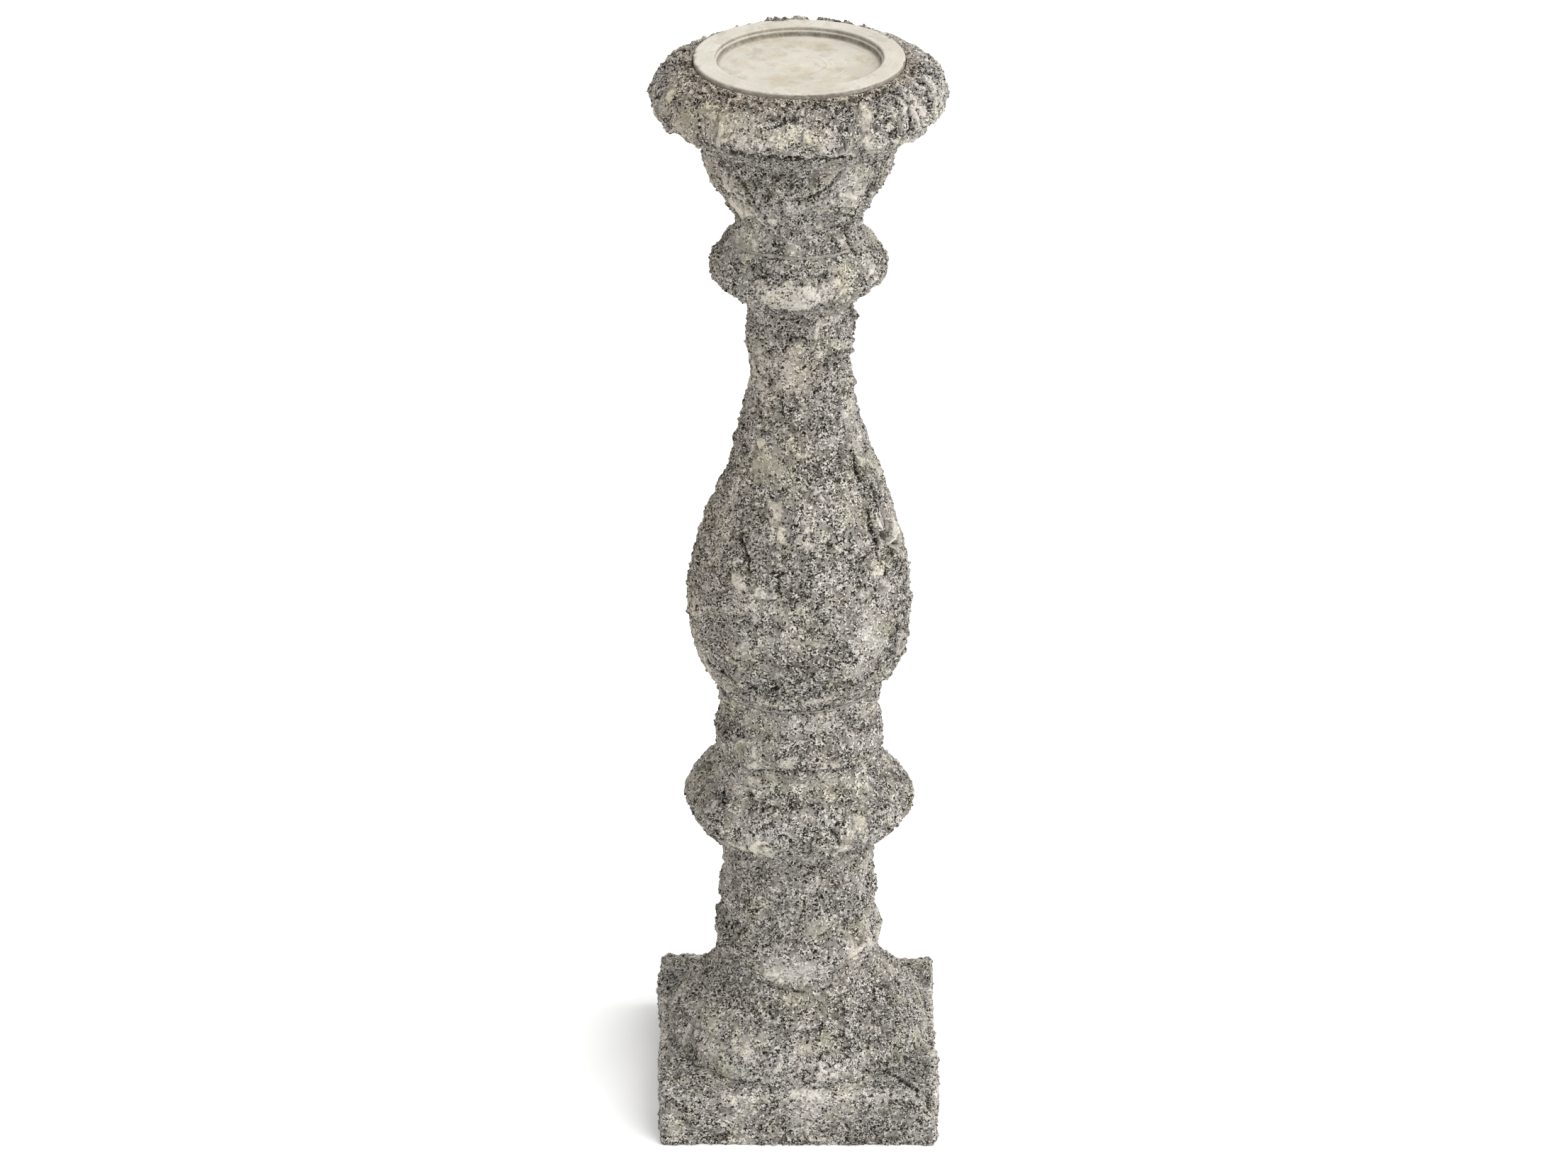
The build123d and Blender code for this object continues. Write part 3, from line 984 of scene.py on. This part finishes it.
class Shader:
    """Short calls for building one material's nodes."""

    def __init__(self, name):
        self.material = bpy.data.materials.new(name)
        self.material.use_nodes = True
        self.nodes = self.material.node_tree.nodes
        self.links = self.material.node_tree.links
        self.principled = self.nodes["Principled BSDF"]
        self.place = self.nodes.new("ShaderNodeTexCoord").outputs["Object"]

    def plug(self, socket, value):
        if isinstance(value, bpy.types.NodeSocket):
            self.links.new(value, socket)
        elif value is not None:
            socket.default_value = value

    def noise(self, size, detail=2.0, rough=0.5, place=None, output="Fac"):
        """Noise with lumps about size metres across, from 0 to 1."""
        node = self.nodes.new("ShaderNodeTexNoise")
        node.inputs["Scale"].default_value = 1 / size
        node.inputs["Detail"].default_value = detail
        node.inputs["Roughness"].default_value = rough
        self.links.new(place or self.place, node.inputs["Vector"])
        return node.outputs[output]

    def cells(self, size, place=None):
        """Cells round scattered points about size metres apart."""
        node = self.nodes.new("ShaderNodeTexVoronoi")
        node.inputs["Scale"].default_value = 1 / size
        self.links.new(place or self.place, node.inputs["Vector"])
        return node

    def vector(self, operation, *values):
        node = self.nodes.new("ShaderNodeVectorMath")
        node.operation = operation
        for socket, value in zip(node.inputs, values):
            self.plug(socket, value)
        return node

    def radial_place(self):
        """A place that changes only with distance from the axis, for turning marks."""
        flat = self.vector("MULTIPLY", self.place, (1, 1, 0)).outputs[0]
        joined = self.nodes.new("ShaderNodeCombineXYZ")
        self.links.new(self.vector("LENGTH", flat).outputs["Value"], joined.inputs[0])
        return joined.outputs[0]

    def red(self, colour):
        """A colour's first channel."""
        split = self.nodes.new("ShaderNodeSeparateColor")
        self.links.new(colour, split.inputs[0])
        return split.outputs[0]

    def spots(self, size, share, radius):
        """1 inside ragged spots round a share of scattered points; radius is in units of their spacing."""
        shift = self.noise(size / 1.6, output="Color")
        bend = (0.7 * size, 0.7 * size, 0.7 * size)
        cells = self.cells(size, self.vector("MULTIPLY_ADD", shift, bend, self.place).outputs[0])
        chosen = self.math("LESS_THAN", self.red(cells.outputs["Color"]), share)
        inside = self.remap(cells.outputs["Distance"], 0.6 * radius, radius, 1.0, 0.0)
        return self.math("MULTIPLY", inside, chosen)

    def mask(self, name):
        node = self.nodes.new("ShaderNodeAttribute")
        node.attribute_name = name
        return node.outputs["Fac"]

    def math(self, operation, a, b=None, c=None):
        node = self.nodes.new("ShaderNodeMath")
        node.operation = operation
        for socket, value in zip(node.inputs, (a, b, c)):
            self.plug(socket, value)
        return node.outputs[0]

    def remap(self, value, low, high, to_low=0.0, to_high=1.0):
        node = self.nodes.new("ShaderNodeMapRange")
        node.interpolation_type = "SMOOTHSTEP"
        names = "Value", "From Min", "From Max", "To Min", "To Max"
        for name, number in zip(names, (value, low, high, to_low, to_high)):
            self.plug(node.inputs[name], number)
        return node.outputs["Result"]

    def ramp(self, value, stops):
        """A colour for each value, blended between (position, (r, g, b)) stops."""
        node = self.nodes.new("ShaderNodeValToRGB")
        self.links.new(value, node.inputs["Fac"])
        marks = node.color_ramp.elements
        while len(marks) < len(stops):
            marks.new(0.5)
        for mark, (position, colour) in zip(marks, stops):
            mark.position = position
            mark.color = (*colour, 1)
        return node.outputs["Color"]

    def mix(self, amount, a, b, mode="MIX"):
        node = self.nodes.new("ShaderNodeMix")
        node.data_type = "RGBA"
        node.blend_type = mode
        for socket, value in ((0, amount), (6, a), (7, b)):
            if isinstance(value, tuple):
                value = (*value, 1)
            self.plug(node.inputs[socket], value)
        return node.outputs[2]

    def bump(self, height, distance, strength=1.0):
        node = self.nodes.new("ShaderNodeBump")
        node.inputs["Strength"].default_value = strength
        node.inputs["Distance"].default_value = distance
        self.links.new(height, node.inputs["Height"])
        return node.outputs["Normal"]

    def finish(self, colour, roughness, normal, specular=0.3):
        for name, value in {"Base Color": colour, "Roughness": roughness, "Normal": normal}.items():
            self.plug(self.principled.inputs[name], value)
        self.principled.inputs["Specular IOR Level"].default_value = specular
        return self.material


def summed(shader, start, terms):
    """start plus each (value, weight), with values centred on a half."""
    total = start
    for value, weight in terms:
        centred = shader.math("SUBTRACT", value, 0.5)
        total = shader.math("MULTIPLY_ADD", centred, weight, total)
    return total


def weighted(shader, total, terms):
    """total plus each (value, weight)."""
    for value, weight in terms:
        total = shader.math("MULTIPLY_ADD", value, weight, total)
    return total


def warm_grey(level):
    """The albedo that shows in this light as a warm grey of about this brightness, from 0 to 255."""
    seen = ((level + shift) / 255 for shift in GREY_TINT)
    return tuple(STUDIO_LIGHT * max(value, 0.01) ** 2.2 for value in seen)


def pit_shade_and_grain_highlights(s, skin, flake, rough):
    """Spots of painted shade for the pits and of painted highlight for the grains, and how much of the fine
    texture is kept at each place.
    """
    kept = s.remap(weighted(s, rough, [(flake, -0.8), (skin, -0.3)]), -1, 1, 0.2, 1.25)
    pits = s.math("MAXIMUM", s.spots(0.0021, 0.25, 0.42), s.spots(0.0044, 0.17, 0.28))
    grain_highlights = s.spots(0.0021, 0.19, 0.4)
    return s.math("MULTIPLY", pits, kept), s.math("MULTIPLY", grain_highlights, kept), kept


def tinted(s, colour, skin, flake):
    """The grey crust with cream, reddish and brown places and ivory flakes."""
    cream = summed(s, 0.3, [(s.noise(0.022, 3.0, 0.6), 2.6), (s.noise(0.006, 2.0), 0.6), (skin, 0.25)])
    colour = s.mix(s.remap(cream, 0, 1), colour, CREAM, "MULTIPLY")
    rust = summed(s, 0.35, [(s.noise(0.016, 3.0, 0.6), 2.6)])
    colour = s.mix(s.remap(rust, 0, 1), colour, REDDISH, "MULTIPLY")
    colour = s.mix(s.math("MULTIPLY", s.mask("tan"), 0.8), colour, BROWN, "MULTIPLY")
    return s.mix(flake, colour, IVORY, "MULTIPLY")


def stone_material():
    """Grey gravelly crust with painted shade in its pits and hollows and painted highlights on its grains,
    smoother cream skins and crisp pale flakes.
    """
    s = Shader("weathered_stone")
    skin, flake, rough = s.mask("skin"), s.mask("flake"), s.mask("rough")
    sand = s.noise(0.0009, 1.0)
    grain = s.noise(0.0019, 2.0, 0.65)
    speckle = s.red(s.cells(0.0011).outputs["Color"])
    clots = s.noise(0.0055, 2.0, 0.55)
    patches = s.noise(0.020, 3.0, 0.6)
    stains = s.remap(s.noise(0.013, 4.0, 0.6), 0.4, 0.6)
    busy = s.remap(s.noise(0.0038, 2.0, 0.5), 0.36, 0.64, 0.1, 1.9)
    pits, grain_highlights, kept = pit_shade_and_grain_highlights(s, skin, flake, rough)
    fine = summed(s, 0.0, [(sand, 2.1), (grain, 0.35), (speckle, 1.0)])
    fine = s.math("MULTIPLY", s.math("MULTIPLY", fine, kept), busy)
    tone = summed(s, s.math("ADD", fine, 0.55), [(clots, 0.1), (patches, 0.4), (stains, 0.15)])
    # The cavity mask and the pit spots are painted shade, the grain spots painted highlights.
    tone = weighted(s, tone, [(s.mask("cavity_shade"), -0.3), (grain_highlights, 0.6), (pits, -0.95), (skin, 0.03)])
    tone = weighted(s, tone, [(flake, 0.25), (s.mask("tone"), 0.2)])
    colour = s.ramp(tone, [(position, warm_grey(level)) for position, level in GREYS])
    grit = summed(s, 0.5, [(sand, 0.4), (grain, 0.9), (clots, 0.6), (grain_highlights, 0.5)])
    grit = s.math("MULTIPLY_ADD", pits, -0.9, grit)
    grit = s.math("MULTIPLY", grit, s.remap(rough, 0, 1, 0.5, 1.2))
    return s.finish(tinted(s, colour, skin, flake), 0.94, s.bump(grit, 0.003), 0.15)


def mortar_material():
    """Sandy lime mortar, paler than the stone."""
    s = Shader("lime_mortar")
    sand = s.noise(0.0012, 2.0, 0.6)
    tone = summed(s, 0.5, [(sand, 0.9), (s.noise(0.008, 3.0), 0.7)])
    colour = s.ramp(tone, [(0.1, (0.1, 0.09, 0.08)), (0.5, (0.29, 0.27, 0.24)), (0.9, (0.5, 0.47, 0.42))])
    return s.finish(colour, 0.95, s.bump(sand, 0.0005), 0.15)


def dish_material():
    """Fine pale stone with turning marks, darkened on its walls by soil and painted shade and stained on the
    floor of the recess.
    """
    s = Shader("pale_dish")
    soil_and_shade, floor = s.mask("soil_and_shade"), s.mask("floor")
    cloud = s.noise(0.028, 4.0, 0.6)
    fine = s.noise(0.0016, 3.0, 0.65)
    rings = s.noise(0.0016, 2.0, 0.6, s.radial_place())
    worn = s.remap(s.noise(0.03, 3.0, 0.6), 0.46, 0.64)
    rings = s.math("MULTIPLY", s.math("SUBTRACT", rings, 0.5), worn)
    tone = summed(s, 0.55, [(cloud, 1.0), (fine, 0.35)])
    tone = s.math("MULTIPLY_ADD", rings, 1.5, tone)
    colour = s.ramp(tone, [(0.1, (0.34, 0.31, 0.25)), (0.5, (0.45, 0.425, 0.36)), (0.9, (0.54, 0.52, 0.46))])
    stain = s.math("MULTIPLY", floor, s.remap(s.noise(0.019, 3.0, 0.55), 0.48, 0.62))
    colour = s.mix(s.math("MULTIPLY", stain, 0.75), colour, DISH_STAIN, "MULTIPLY")
    # Soil and painted shade darken the walls and the recess's corner.
    dirt_and_shade = s.math("MULTIPLY", soil_and_shade, s.remap(s.noise(0.006, 4.0, 0.65), 0.25, 0.6, 0.55, 1.0))
    colour = s.mix(dirt_and_shade, colour, s.ramp(fine, [(0.3, (0.115, 0.095, 0.075)), (0.7, (0.25, 0.222, 0.18))]))
    relief = s.math("MULTIPLY_ADD", rings, 2.0, fine)
    return s.finish(colour, 0.62, s.bump(relief, 0.0003, 0.8), 0.3)


def steel_material():
    """Dull zinc with faint crystals and a little rust."""
    s = Shader("galvanised_steel")
    crystals = s.cells(0.004).outputs["Color"]
    tone = summed(s, 0.5, [(s.noise(0.006, 3.0), 0.6)])
    tone = s.math("ADD", tone, s.math("MULTIPLY", crystals, 0.12))
    colour = s.ramp(tone, [(0.2, (0.33, 0.34, 0.35)), (0.8, (0.6, 0.61, 0.62))])
    rust = s.remap(s.noise(0.005, 4.0, 0.65), 0.56, 0.68)
    colour = s.mix(rust, colour, (0.2, 0.085, 0.035))
    s.principled.inputs["Metallic"].default_value = 0.85
    return s.finish(colour, s.remap(rust, 0, 1, 0.42, 0.85), s.bump(s.noise(0.002, 3.0), 0.0002), 0.5)


# Setting

def add_floor():
    """A plain pale floor, wide enough to fill the view."""
    mesh = bpy.data.meshes.new("floor")
    half = 12.0
    corners = [(x * half, y * half, 0) for x, y in ((-1, -1), (1, -1), (1, 1), (-1, 1))]
    mesh.from_pydata(corners, [], [(0, 1, 2, 3)])
    floor = bpy.data.objects.new("floor", mesh)
    bpy.context.collection.objects.link(floor)
    s = Shader("floor")
    mesh.materials.append(s.finish((0.93, 0.93, 0.925, 1), 0.9, None, 0.1))


def add_sun(name, azimuth, elevation, strength, spread):
    """A soft distant light from an azimuth (0 is the front, 90 the right) and an elevation, in degrees."""
    lamp = bpy.data.lights.new(name, "SUN")
    lamp.energy = strength
    lamp.angle = math.radians(spread)
    sun = bpy.data.objects.new(name, lamp)
    sun.rotation_euler = (math.radians(90 - elevation), 0, math.radians(azimuth))
    bpy.context.collection.objects.link(sun)


def add_light():
    """A white studio: even light from all round and a soft key from the upper right."""
    world = bpy.data.worlds.new("studio")
    world.use_nodes = True
    background = world.node_tree.nodes["Background"]
    background.inputs["Color"].default_value = (1, 1, 1, 1)
    background.inputs["Strength"].default_value = 0.95
    bpy.context.scene.world = world
    add_sun("key", 64, 42, 3.3, 70)
    bpy.context.scene.view_settings.view_transform = "Standard"


def add_camera():
    """A long lens from the front, a little above, aimed at the middle of the stand."""
    camera = bpy.data.cameras.new("camera")
    camera.sensor_width = 36
    camera.lens = 125.9
    camera.clip_end = 100
    pitch = math.radians(26.28)
    distance = 3.632
    aside = -0.0096
    middle = (cad_bounds[0][2] + cad_bounds[1][2]) / 2
    holder = bpy.data.objects.new("camera", camera)
    holder.location = (aside, -distance * math.cos(pitch), middle + distance * math.sin(pitch))
    holder.rotation_euler = (math.pi / 2 - pitch, 0, 0)
    bpy.context.collection.objects.link(holder)
    bpy.context.scene.camera = holder


# Assembly

def build():
    stone = stone_material()
    mortar = mortar_material()
    for node in STONES:
        add_piece(node + "_crust", stone_mesh(node), stone, node)
    for number in range(1, len(STONES)):
        bed = f"mortar_bed_{number}"
        mesh = bed_mesh(number, STONES[number - 1], STONES[number])
        add_piece(bed + "_pointing", mesh, mortar if number in OPEN_BEDS else stone, bed)
    add_piece("candle_dish_turned", dish_mesh(), dish_material(), "candle_dish")
    steel = steel_material()
    for node in STEEL:
        for slot in frame["nodes"][node].material_slots:
            slot.link = "OBJECT"
            slot.material = steel
    add_floor()
    add_light()
    add_camera()


build()
